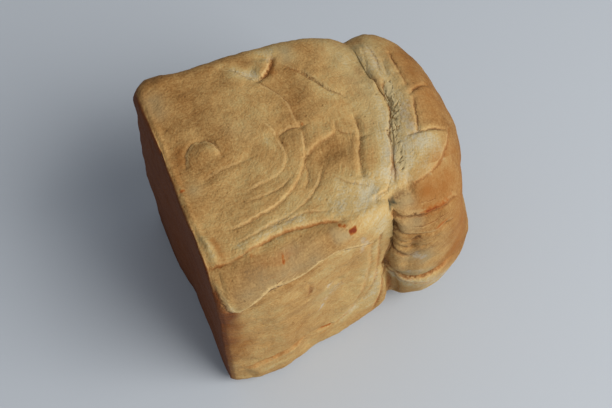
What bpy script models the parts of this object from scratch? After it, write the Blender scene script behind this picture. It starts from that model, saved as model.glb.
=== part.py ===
"""A white loaf baked in a square tin and turned out onto one of its sides.

The loaf's bottom faces -X and its risen crown +X, past the torn seam where the dough left the tin.
-Y is the side with the folds, +Z is the side that shows on top. Sizes are in metres.
"""
import math

import bmesh
import bpy
import numpy as np
from mathutils import Vector, noise

# Driving dimensions. The tables hold pairs of (share of the way from the bottom to the seam, distance from
# the middle of the tin or radius of a corner), and the seam's hold (place from one side of the tin to the
# other, distance from the bottom).
TIN_DEPTH = 0.130  # across the tin, along Z as the loaf lies
NEAR_WALL = ((0, -0.0608), (0.03, -0.0628), (0.15, -0.0645), (0.29, -0.0648), (0.45, -0.0612),
             (0.6, -0.0588), (0.75, -0.0563), (0.88, -0.0535), (1, -0.0505))
FAR_WALL = ((0, 0.0572), (0.03, 0.0615), (0.07, 0.0642), (0.12, 0.064), (0.22, 0.0632),
            (0.4, 0.0632), (0.62, 0.063), (0.8, 0.0617), (0.9, 0.0597), (1, 0.0555))
TOP_WALL = ((0, 0.0645), (0.1, 0.065), (0.7, 0.065), (0.92, 0.0635), (1, 0.061))
UNDER_WALL = ((0, -0.0635), (0.05, -0.065), (0.9, -0.065), (1, -0.062))
NEAR_TOP_CORNER = ((0, 0.018), (0.25, 0.017), (0.4, 0.014), (0.62, 0.0085), (0.9, 0.006), (1, 0.007))
FAR_TOP_CORNER = ((0, 0.009), (0.5, 0.010), (0.8, 0.013), (1, 0.018))
UNDER_CORNER = ((0, 0.009), (0.7, 0.009), (1, 0.016))
SEAM_TOP = ((-1, 0.092), (-0.76, 0.1005), (-0.54, 0.1058), (-0.35, 0.109), (-0.08, 0.1122),
            (0.12, 0.1132), (0.32, 0.1125), (0.6, 0.111), (1, 0.111))
SEAM_NEAR = ((-1, 0.103), (-0.5, 0.1005), (-0.1, 0.0955), (0.1, 0.0925), (0.4, 0.0945), (0.7, 0.0935),
             (1, 0.092))
CROWN_RISE = 0.0455  # how far the crown stands past the seam
CROWN_LEAN = 0.005  # how much further the crown reaches on its far side
CROWN_HALF = (0.0605, 0.0635)  # half of the crown's width and depth at its bulge
CROWN_MIDDLE = (0.001, -0.0005)  # where the crown's middle lies from the tin's, along Y and Z
# a hollow and a swelling on the crown, as size, place along Y and Z, and spread along Y and Z
CROWN_LUMPS = ((-0.0085, -0.036, 0.026, 0.019, 0.024), (0.0045, -0.048, -0.028, 0.018, 0.028))
FLARE = 0.26  # share of the crown's rings that open out from the seam to the bulge
MIDDLE = (0.07386, -0.00122)  # the middle of the whole loaf along X and Y, which becomes the origin
BOTTOM_LEAN = (0.002, 0.0074)  # how far the bottom stands out by the under side: near and far

# Creases and folds, as (face, raised, spread, depth, width, points): the surface stands up by raised to the
# left of the line, dying out over spread, and sinks by depth along it over width. A line on the top runs
# through (X, Y) points, and one on the near side through (X, Z) points. All are in millimetres.
LINES = (
    # the round mark on top, the arc inside it, and a round knob
    ("top", 1.1, 16, 0.3, 1.5, ((16, -36), (29, -35), (48, -29), (59, -18), (65, -7), (67, 3), (67, 16),
                                (63, 28), (55, 40), (46, 52))),
    ("top", 0.5, 10, 0.2, 1.2, ((31, -20), (48, -17), (55, -7), (55, 5), (51, 15))),
    ("top", 0.0, 1, 0.6, 1.2, ((56, 4), (62, 5), (70, 4))),
    ("top", 0.0, 1, -1.5, 4.5, ((19, 8), (23, 7))),
    ("top", 0.0, 1, 0.6, 1.3, ((26, 3), (25, 9), (22, 14), (16, 15), (11, 11), (8, 3))),
    ("top", 0.0, 1, 0.6, 2.0, ((14, -7), (23, -5), (36, -3))),
    ("top", 0.5, 8, 0.5, 1.5, ((55, 41), (50, 46), (44, 53))),
    # a lobe tucked in at the far edge, the edge of a layer, and the long dent by the seam
    ("top", 2.0, 8, 1.3, 1.6, ((57, 38), (62, 39), (66, 43), (69, 48))),
    ("top", 0.0, 1, 1.2, 6.0, ((70, 28), (70, 16))),
    ("top", 0.6, 8, 0.7, 1.3, ((80, 36), (87, 22), (94, 13))),
    ("top", 1.6, 10, 0.5, 1.6, ((63, -13), (72, -8), (80, -6), (84, 0))),
    ("top", 0.0, 1, 1.0, 5.0, ((71, -15), (83, -13))),
    ("top", 0.0, 1, 0.6, 1.3, ((83, -2), (85, -5), (89, -8))),
    ("top", 0.6, 5, 1.2, 1.8, ((84, -32), (87, -22), (91, -13), (93, -7), (94, 0))),
    ("top", 0.0, 1, 0.6, 1.1, ((62, -17), (60, -23), (58, -27))),
    # the lip round the bottom's edge, and the crease above the near side
    ("top", 0.0, 1, -0.9, 1.3, ((1.8, 52), (1.8, 5), (2.2, -23), (4, -41))),
    ("top", 0.0, 1, -1.2, 2.0, ((4, -37), (5, -48))),
    ("top", 0.4, 4, 2.0, 1.6, ((0, -50), (3, -51), (11, -51))),
    ("top", 0.7, 8, 0.9, 1.4, ((11, -51), (21, -49), (34, -46.5), (47, -47), (65, -51))),
    # the folded flap, and the crease over the foot
    ("near", 2.4, 20, 1.2, 2.0, ((-5, 43.5), (0, 41.5), (5, 40), (9, 39.5), (13, 42.5), (19, 46), (27, 51),
                                 (32, 49), (39, 46.5), (43, 47.5), (50, 51), (58, 52), (69, 46), (75, 42),
                                 (81, 36))),
    ("near", 1.6, 26, 0.8, 1.8, ((42, -33), (30, -36), (16, -39), (5, -41))),
    ("near", 0.0, 1, 1.6, 2.4, ((56, 14), (62, 13))),
    ("near", 0.0, 1, 1.0, 1.4, ((52, -36), (59, -38))),
    ("near", 0.0, 1, -1.6, 7.0, ((82, 13), (81, -4), (69, -21))),
    # layers pulled towards the neck, and the neck
    ("near", 0.7, 6, 0.9, 1.5, ((88, -53), (90, -42), (91, -13), (91, 2))),
    ("near", 0.6, 6, 0.6, 1.4, ((79, -29), (83, -12), (86, 6), (86, 25), (84, 44))),
    ("near", 0.4, 6, 0.5, 1.4, ((72, -28), (78, -8), (81, 17), (80, 40))),
    ("near", 0.4, 6, 0.5, 1.4, ((46, -43), (59, -41), (68, -36), (76, -27))),
    ("near", 0.0, 1, 0.5, 1.4, ((45, 31), (46, 23), (44, 16))),
    ("near", 0.8, 5, 0.4, 1.8, ((92.5, -2), (91, 8), (92, 22), (93.5, 34), (92.5, 47), (89, 60))),
    ("near", 0.0, 1, -1.8, 3.5, ((95, 54), (96, 42), (96.5, 30), (96.5, 18), (97, 6), (98, -6))),
    ("near", 0.0, 1, 5.5, 3.0, ((94, -8), (96.5, -23), (100, -42), (101, -62))),
    ("top", 0.0, 1, 2.2, 2.2, ((92, -48), (95, -48))),
    ("top", 1.3, 6, 0.8, 1.5, ((84, -47), (89, -46.5), (97, -45), (104, -43))),
    # folds under the crown, from the top down
    ("near", 0.8, 4, 1.4, 1.7, ((93, 60), (99, 59.5), (104, 59))),
    ("near", 1.3, 6, 2.0, 1.8, ((92, 55), (94, 53), (97, 50.5), (105, 48.5), (113, 46.5), (119, 46),
                                (124, 45))),
    ("near", 1.3, 6, 2.0, 1.8, ((93, 47), (95, 42), (97, 39), (99, 37.5), (107, 34.5), (114, 32.5),
                                (121, 32))),
    ("near", 0.6, 5, 0.9, 1.6, ((94, 35), (96, 31.5), (99, 30), (104, 32))),
    ("near", 1.3, 6, 2.0, 1.8, ((93, 29), (95, 26.5), (97, 25), (99, 23), (101.5, 21), (103, 23))),
    ("near", 0.8, 4, 1.1, 1.6, ((109, 20.5), (112, 22), (115, 25))),
    ("near", 0.7, 5, 0.9, 1.6, ((94, 24), (96, 19), (98, 15), (101, 12), (105, 14))),
    ("near", 1.3, 13, 1.8, 1.8, ((131, -15), (121, -16), (110, -17), (101, -16), (95, -8), (91, 3))),
    ("near", 0.4, 5, 0.7, 1.5, ((97, -19), (103, -22), (111, -24), (123, -30))),
    # the torn seam, and where it isn't torn, then the dimples and creases on the crown
    ("top", 0.7, 6, 0.7, 1.7, ((97, -41), (100.5, -32), (104, -21), (108, -11), (112.5, -2), (114, 5))),
    ("top", 0.4, 5, 0.5, 1.7, ((114, 3), (112.5, 12), (112, 20), (111, 24))),
    ("top", 0.3, 5, 0.3, 1.7, ((111, 22), (112.5, 28), (114, 35), (116, 43))),
    ("top", 0.0, 1, -1.3, 4.5, ((113.5, 17), (113.5, 26), (115, 36))),
    ("top", 0.0, 1, 0.6, 1.3, ((122, 28), (120, 19))),
    ("top", 0.7, 6, 0.8, 1.3, ((127, 18), (127, 26), (128, 32))),
    ("top", 0.6, 6, 0.8, 1.3, ((126, 9), (127, 17))),
    ("top", 0.5, 6, 0.8, 1.3, ((125, 3), (128, 5), (137, 8))),
    ("top", 1.0, 7, 0.7, 1.3, ((120, -18), (124, -8), (126, 0))),
    ("top", 0.4, 5, 0.7, 1.3, ((115, -19), (120, -19), (135, -19))),
    ("top", 1.0, 7, 0.4, 1.4, ((104, -44), (116, -40.5), (129, -31), (139, -18))),
)
EDGE = 1.4  # millimetres over which a raised side steps up
UNEVEN = ((0.0007, 30.0), (0.0003, 110.0))  # height of the crust's unevenness, and how close it is

# Grid of the surface before it is thinned out
WALL_ROWS = 66
CROWN_ROWS = 54
BASE_ROWS = 14
CORNER_STEPS = 9
SIDE_STEPS = {"top": 78, "near": 74, "under": 24, "far": 28}
KEPT_TRIANGLES = 10400

CRUST_COLOUR = (0.42, 0.24, 0.085, 1.0)
CRUST_ROUGHNESS = 0.62


def smooth_curve(stations, at):
    """Values of a smooth curve through (position, value) stations, which never swings past them."""
    xs = np.array([p for p, _ in stations], float)
    ys = np.array([v for _, v in stations], float)
    rise = np.diff(ys) / np.diff(xs)
    product = rise[1:] * rise[:-1]
    inner = np.where(product > 0, 2 * product / (rise[1:] + rise[:-1] + 1e-30), 0)
    slopes = np.concatenate([rise[:1], inner, rise[-1:]])
    at = np.clip(np.asarray(at, float), xs[0], xs[-1])
    i = np.clip(np.searchsorted(xs, at, side="right") - 1, 0, len(xs) - 2)
    gap = xs[i + 1] - xs[i]
    t = (at - xs[i]) / gap
    t2, t3 = t * t, t * t * t
    return (
        (2 * t3 - 3 * t2 + 1) * ys[i]
        + (t3 - 2 * t2 + t) * gap * slopes[i]
        + (3 * t2 - 2 * t3) * ys[i + 1]
        + (t3 - t2) * gap * slopes[i + 1]
    )


def ring_layout():
    """One turn round the loaf: each point's side of the tin (-1 to 1 each way) and its outward angle."""
    sides = (("top", 1, 0), ("far", 0, -1), ("under", -1, 0), ("near", 0, 1))
    points = []
    for name, along_y, along_z in sides:
        steps = SIDE_STEPS[name]
        for k in range(steps):
            t = -1 + 2 * k / steps
            outward = {"top": 90, "far": 0, "under": -90, "near": -180}[name]
            y = along_y * t if along_y else (1 if name == "far" else -1)
            z = along_z * t if along_z else (1 if name == "top" else -1)
            points.append((y, z, outward))
        for k in range(CORNER_STEPS):
            y = {"top": 1, "far": 1, "under": -1, "near": -1}[name]
            z = {"top": 1, "far": -1, "under": -1, "near": 1}[name]
            points.append((y, z, outward - 90 * k / CORNER_STEPS))
    y, z, angle = (np.array(column, float) for column in zip(*points))
    return y, z, np.radians(angle)


def ring_points(layout, walls, radii):
    """Y and Z of a rounded rectangle from its four walls and the radii of its four corners."""
    unit_y, unit_z, angle = layout
    near, far, low, high = walls
    along = (1 + unit_y) / 2, (1 + unit_z) / 2
    top = radii["near_top"] * (1 - along[0]) + radii["far_top"] * along[0]
    radius = radii["under"] * (1 - along[1]) + top * along[1]
    y = (near + far) / 2 + unit_y * ((far - near) / 2 - radius) + radius * np.cos(angle)
    z = (low + high) / 2 + unit_z * ((high - low) / 2 - radius) + radius * np.sin(angle)
    return y, z


def seam_along(layout):
    """How far the torn seam lies from the loaf's bottom, round the loaf."""
    unit_y, unit_z, _ = layout
    seam = np.interp(unit_y, (-1, 1), (SEAM_NEAR[0][1], SEAM_TOP[-1][1]))
    seam = np.where(unit_z >= 1, smooth_curve(SEAM_TOP, unit_y), seam)
    return np.where(unit_y <= -1, smooth_curve(SEAM_NEAR, unit_z), seam)


def wall_ring(layout, share):
    """Y and Z of the tin-shaped part's ring at this share of the way from the bottom to the seam."""
    walls = [float(smooth_curve(table, share)) for table in (NEAR_WALL, FAR_WALL, UNDER_WALL, TOP_WALL)]
    radii = {
        "near_top": float(smooth_curve(NEAR_TOP_CORNER, share)),
        "far_top": float(smooth_curve(FAR_TOP_CORNER, share)),
        "under": float(smooth_curve(UNDER_CORNER, share)),
    }
    return ring_points(layout, walls, radii)


def bottom_face(y, z):
    """How far the bottom stands off a flat plane there: it leans out towards the under side."""
    near_lean, far_lean = BOTTOM_LEAN
    lean = near_lean + (far_lean - near_lean) * 0.5 * (1 + np.tanh((y - 0.008) / 0.012))
    down = np.clip((TIN_DEPTH / 2 - z) / TIN_DEPTH, 0, 1)
    return -lean * down**0.4


def crown_rings(layout, share, seam_row):
    """X, Y and Z of the crown's rings, from the seam (share 0) over its bulge to its middle (share 1)."""
    unit_y, unit_z, angle = layout
    toward_y = unit_y * 0.65 + 0.35 * np.cos(angle)
    toward_z = unit_z * 0.65 + 0.35 * np.sin(angle)
    rows = []
    seam_x, seam_y, seam_z = seam_row
    for s in share:
        flare = min(1.0, s / FLARE)
        turn = max(0.0, (s - FLARE) / (1 - FLARE)) * math.pi / 2
        power = 4.6 - 1.8 * max(0.0, (s - FLARE) / (1 - FLARE)) ** 0.7
        reach = (np.abs(toward_y) ** power + np.abs(toward_z) ** power) ** (-1 / power)
        shrink = math.cos(turn) ** 0.9
        y = CROWN_MIDDLE[0] + toward_y * reach * CROWN_HALF[0] * shrink
        z = CROWN_MIDDLE[1] + toward_z * reach * CROWN_HALF[1] * shrink
        blend = math.sin(flare * math.pi / 2) ** 0.8
        y = (1 - blend) * seam_y + blend * y
        z = (1 - blend) * seam_z + blend * z
        rise = CROWN_RISE * (0.26 * flare + 0.74 * math.sin(turn))
        settle = min(1.0, s / 0.7)
        settle = settle * settle * (3 - 2 * settle)
        x = (1 - settle) * seam_x + settle * (0.110 + CROWN_LEAN * y) + rise
        for size, mid_y, mid_z, wide, tall in CROWN_LUMPS:
            x = x + size * settle * np.exp(-(((y - mid_y) / wide) ** 2) - ((z - mid_z) / tall) ** 2)
        rows.append((x, y, z))
    return rows


def base_shape():
    """X, Y and Z of the plain loaf, as rings from the middle of its bottom to the middle of its crown."""
    layout = ring_layout()
    seam = seam_along(layout)
    edge_y, edge_z = wall_ring(layout, 0.0)
    rows = []
    for k in range(BASE_ROWS):
        reach = (k + 1) / (BASE_ROWS + 1)
        y, z = edge_y * reach, edge_z * reach
        rows.append((bottom_face(y, z), y, z))
    for share in np.linspace(0, 1, WALL_ROWS):
        y, z = wall_ring(layout, share)
        rows.append((seam * share + bottom_face(y, z) * (1 - share) ** 3, y, z))
    rows += crown_rings(layout, np.linspace(0, 1, CROWN_ROWS + 1)[1:-1], rows[-1])
    return layout, np.array(rows)


def outward(rows):
    """Outward unit normals of the grid of rings."""
    grid = rows.transpose(0, 2, 1)
    round_it = np.roll(grid, -1, axis=1) - np.roll(grid, 1, axis=1)
    along_it = np.gradient(grid, axis=0)
    normal = np.cross(along_it, round_it)
    normal /= np.linalg.norm(normal, axis=2, keepdims=True) + 1e-12
    return normal


def soft_step(low, high, value):
    t = np.clip((value - low) / (high - low), 0, 1)
    return t * t * (3 - 2 * t)


def line_relief(across, points, raised, spread, depth, width):
    """Height in millimetres that one line adds at these places, given in its own plane."""
    points = np.array(points, float)
    chord = np.concatenate([[0], np.cumsum(np.linalg.norm(np.diff(points, axis=0), axis=1))])
    at = np.linspace(0, chord[-1], max(3, int(chord[-1] / 1.5)))
    path = np.column_stack([smooth_curve(list(zip(chord, points[:, k])), at) for k in (0, 1)])
    nearest = np.full(len(across), 1e9)
    side = np.zeros(len(across))
    travelled = np.zeros(len(across))
    for start, end, gone in zip(path, path[1:], at):
        step = end - start
        reach = np.linalg.norm(step)
        t = np.clip((across - start) @ step / reach**2, 0, 1)
        off = across - start - t[:, None] * step
        distance = np.hypot(off[:, 0], off[:, 1])
        closer = distance < nearest
        nearest = np.where(closer, distance, nearest)
        side = np.where(closer, np.sign(step[0] * off[:, 1] - step[1] * off[:, 0]), side)
        travelled = np.where(closer, gone + t * reach, travelled)
    height = -depth * np.exp(-((nearest / width) ** 2))
    if raised:
        fade = min(7, chord[-1] / 4)
        ends = soft_step(0, fade, travelled) * soft_step(0, fade, chord[-1] - travelled)
        stands = soft_step(-EDGE / 2, EDGE, nearest * side) * np.exp(-((nearest / spread) ** 2))
        height += raised * ends * stands
    return height


def relief(rows):
    """How far, in metres, each point of the grid moves."""
    normal = outward(rows)
    place = rows.transpose(0, 2, 1)
    height = np.zeros(place.shape[:2])
    facing = {
        "top": soft_step(0.12, 0.5, normal[:, :, 2]),
        "near": soft_step(0.12, 0.5, -normal[:, :, 1]),
    }
    for face, raised, spread, depth, width, points in LINES:
        plane = place[:, :, :2] if face == "top" else place[:, :, ::2]
        corners = np.array(points) / 1000
        margin = 0.003 + max(3 * width, 2.5 * spread if raised else 0) / 1000
        inside = (plane > corners.min(axis=0) - margin).all(axis=2)
        inside &= (plane < corners.max(axis=0) + margin).all(axis=2)
        inside &= facing[face] > 0
        moved = line_relief(plane[inside] * 1000, points, raised, spread, depth, width) / 1000
        height[inside] += moved * facing[face][inside]
    for size, closeness in UNEVEN:
        waves = [[noise.noise(Vector(p) * closeness) for p in row] for row in place]
        height += size * 2 * np.array(waves)
    height *= soft_step(-0.75, -0.35, normal[:, :, 2])
    # A deep fold heads for the loaf's long axis, so that it doesn't cross itself at a corner.
    to_axis = place * (0, 1, 1) / (np.linalg.norm(place[:, :, 1:], axis=2, keepdims=True) + 1e-6)
    deep = soft_step(0.0015, 0.005, -height)[:, :, None]
    return height[:, :, None] * ((1 - deep) * normal + deep * to_axis)


def loaf_mesh(rows):
    """A closed mesh through the rings, with a point at the middle of the bottom and of the crown."""
    around = rows.shape[2]
    mesh = bmesh.new()
    rings = []
    for x, y, z in rows:
        rings.append([mesh.verts.new(p) for p in zip(x, y, z)])
    for a, b in zip(rings, rings[1:]):
        for k in range(around):
            j = (k + 1) % around
            mesh.faces.new((a[k], a[j], b[j], b[k]))
    for ring in (rings[0], rings[-1]):
        middle = mesh.verts.new(np.mean([v.co for v in ring], axis=0))
        for k in range(around):
            mesh.faces.new((ring[k], ring[(k + 1) % around], middle))
    bmesh.ops.recalc_face_normals(mesh, faces=mesh.faces)
    return mesh


def main():
    for thing in list(bpy.data.objects):
        bpy.data.objects.remove(thing, do_unlink=True)
    _, rows = base_shape()
    rows += relief(rows).transpose(0, 2, 1)
    rows[:, 0] -= MIDDLE[0]
    rows[:, 1] -= MIDDLE[1]
    rows[:, 2] += TIN_DEPTH / 2
    solid = loaf_mesh(rows)
    data = bpy.data.meshes.new("loaf")
    solid.to_mesh(data)
    solid.free()
    data.shade_smooth()
    loaf = bpy.data.objects.new("loaf", data)
    bpy.context.scene.collection.objects.link(loaf)
    thin = loaf.modifiers.new("keep the shape in fewer faces", "DECIMATE")
    thin.ratio = KEPT_TRIANGLES / sum(len(face.vertices) - 2 for face in data.polygons)
    crust = bpy.data.materials.new("baked crust")
    crust.use_nodes = True
    shader = crust.node_tree.nodes["Principled BSDF"]
    shader.inputs["Base Color"].default_value = CRUST_COLOUR
    shader.inputs["Roughness"].default_value = CRUST_ROUGHNESS
    shader.inputs["Metallic"].default_value = 0.0
    data.materials.append(crust)
    return loaf


if __name__ == "__main__":
    main()
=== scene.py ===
import math

import bpy
import numpy as np
from mathutils import Matrix, Vector, noise


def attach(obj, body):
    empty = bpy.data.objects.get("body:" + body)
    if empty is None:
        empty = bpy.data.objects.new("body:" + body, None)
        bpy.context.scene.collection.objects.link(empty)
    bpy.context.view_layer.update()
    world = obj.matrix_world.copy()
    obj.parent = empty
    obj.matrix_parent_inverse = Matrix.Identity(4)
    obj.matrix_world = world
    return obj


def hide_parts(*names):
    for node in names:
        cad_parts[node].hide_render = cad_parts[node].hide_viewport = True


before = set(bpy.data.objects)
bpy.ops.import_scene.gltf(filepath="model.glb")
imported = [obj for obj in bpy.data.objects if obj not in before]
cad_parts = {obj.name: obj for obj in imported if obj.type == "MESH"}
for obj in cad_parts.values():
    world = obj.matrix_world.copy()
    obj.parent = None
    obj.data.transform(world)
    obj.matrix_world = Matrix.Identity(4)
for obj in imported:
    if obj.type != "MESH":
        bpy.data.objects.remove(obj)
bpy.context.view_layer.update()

# The tin-shaped part is lofted from rounded rectangles. Each wall and corner is given as pairs: the share of
# the way from the bottom to the torn seam, and the distance from the tin's centre line or the corner's radius.
loaf = {
    "tin": 0.130,  # inside width
    "nearWall": ((0, -0.0608), (0.03, -0.0628), (0.15, -0.0645), (0.29, -0.0648), (0.45, -0.0612),
                 (0.6, -0.0588), (0.75, -0.0563), (0.88, -0.0535), (1, -0.0505)),
    "farWall": ((0, 0.0572), (0.03, 0.0615), (0.07, 0.0642), (0.12, 0.064), (0.22, 0.0632), (0.4, 0.0632),
                (0.62, 0.063), (0.8, 0.0617), (0.9, 0.0597), (1, 0.0555)),
    "topWall": ((0, 0.0645), (0.1, 0.065), (0.7, 0.065), (0.92, 0.0635), (1, 0.061)),
    "underWall": ((0, -0.0635), (0.05, -0.065), (0.9, -0.065), (1, -0.062)),
    "nearTopCorner": ((0, 0.018), (0.25, 0.017), (0.4, 0.014), (0.62, 0.0085), (0.9, 0.006), (1, 0.007)),
    "farTopCorner": ((0, 0.009), (0.5, 0.010), (0.8, 0.013), (1, 0.018)),
    "underCorner": ((0, 0.009), (0.7, 0.009), (1, 0.016)),
    # the seam's X, from the near to the far edge of the top, and from the foot to the top of the near side
    "seamOnTop": ((-1, 0.092), (-0.76, 0.1005), (-0.54, 0.1058), (-0.35, 0.109), (-0.08, 0.1122),
                  (0.12, 0.1132), (0.32, 0.1125), (0.6, 0.111), (1, 0.111)),
    "seamOnNearSide": ((-1, 0.103), (-0.5, 0.1005), (-0.1, 0.0955), (0.1, 0.0925), (0.4, 0.0945),
                       (0.7, 0.0935), (1, 0.092)),
    "bottomLean": (0.002, 0.0074),  # how far the bottom slants out downwards, on the near and far half
    "leanChange": (0.008, 0.012),  # Y where one half goes over into the other, and how gradually
    "leanCurve": 0.4,  # power of the slant, which is steepest by the upper edge
    "crownStart": 0.110,
    "crownRise": 0.0455,  # how far the crown stands past the seam
    "crownLean": 0.005,
    "crownHalf": (0.0605, 0.0635),  # half its width and height at the bulge
    "crownMiddle": (0.001, -0.0005),
    # its hollow and its swelling: how far each moves it, the middle's Y and Z, and the size along Y and Z
    "crownLumps": ((-0.0085, -0.036, 0.026, 0.019, 0.024), (0.0045, -0.048, -0.028, 0.018, 0.028)),
    "crownSquare": 0.65,  # share by which its points keep to the tin's square and not to a circle
    "crownPower": (4.6, 1.8, 0.7),  # its outline's power at the bulge, how much that drops, and how soon
    "crownFull": 0.9,  # power of its profile, which is fuller than a quarter circle below 1
    "crownSpacing": 1.15,  # power that sets its rings closer by the seam
    "flare": 0.26,  # share of the crown's rings that open out from the seam to the bulge
    "flareRise": 0.26,  # share of the rise that they climb
    "flareFull": 0.8,
    "settled": 0.7,  # share of the crown's rings after which the seam's slant is gone
    "middle": (0.07386, -0.00122),  # the middle of the whole loaf, which becomes the origin
    # how high the crust's unevenness is, and how close
    "uneven": ((0.0007, 30.0), (0.0003, 110.0), (0.00012, 340.0)),
    "rows": {"bottom": 18, "wall": 152, "crown": 86},
    "steps": {"top": 150, "near": 142, "under": 20, "far": 34},
    "cornerSteps": 9,
    "faces": (0.12, 0.5),  # the normal's share towards a face, from not at all on it to wholly on it
    "underneath": (-0.75, -0.35),  # the same, below which the crust is smooth because it lies on that side
    "deep": (0.0015, 0.005),  # depths between which a fold turns towards the loaf's long axis
}

# How creases and tints lie in the crust, in mm
drawing = {
    "wander": ((0.35, 110.0), (0.2, 420.0)),  # how far they stray from their drawn lines, and how closely
    "step": 1.5,  # length of the straight pieces that a curve is measured by
    "edge": 1.0,  # width over which a raised side steps up
    "fade": 7,  # length over which a raised side dies out at each end, at most a quarter of the line
    "lipShift": 0.5,  # times the raised height
    "lipWider": 2.0,
    "stainReach": 3,
    "stainEnds": (0.35, 5),  # share of the stain left at a line's very end, and length by which it is full
    "stainFaces": 0.2,  # least share by which stained crust faces the line's plane
    "apart": 1.2,  # lines closer than this count as one
    "between": (1.6, 4.0),  # stains fade out where the ways to two lines differ by less than this
    "offLine": 9.0,  # stands for far from every line
}

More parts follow.
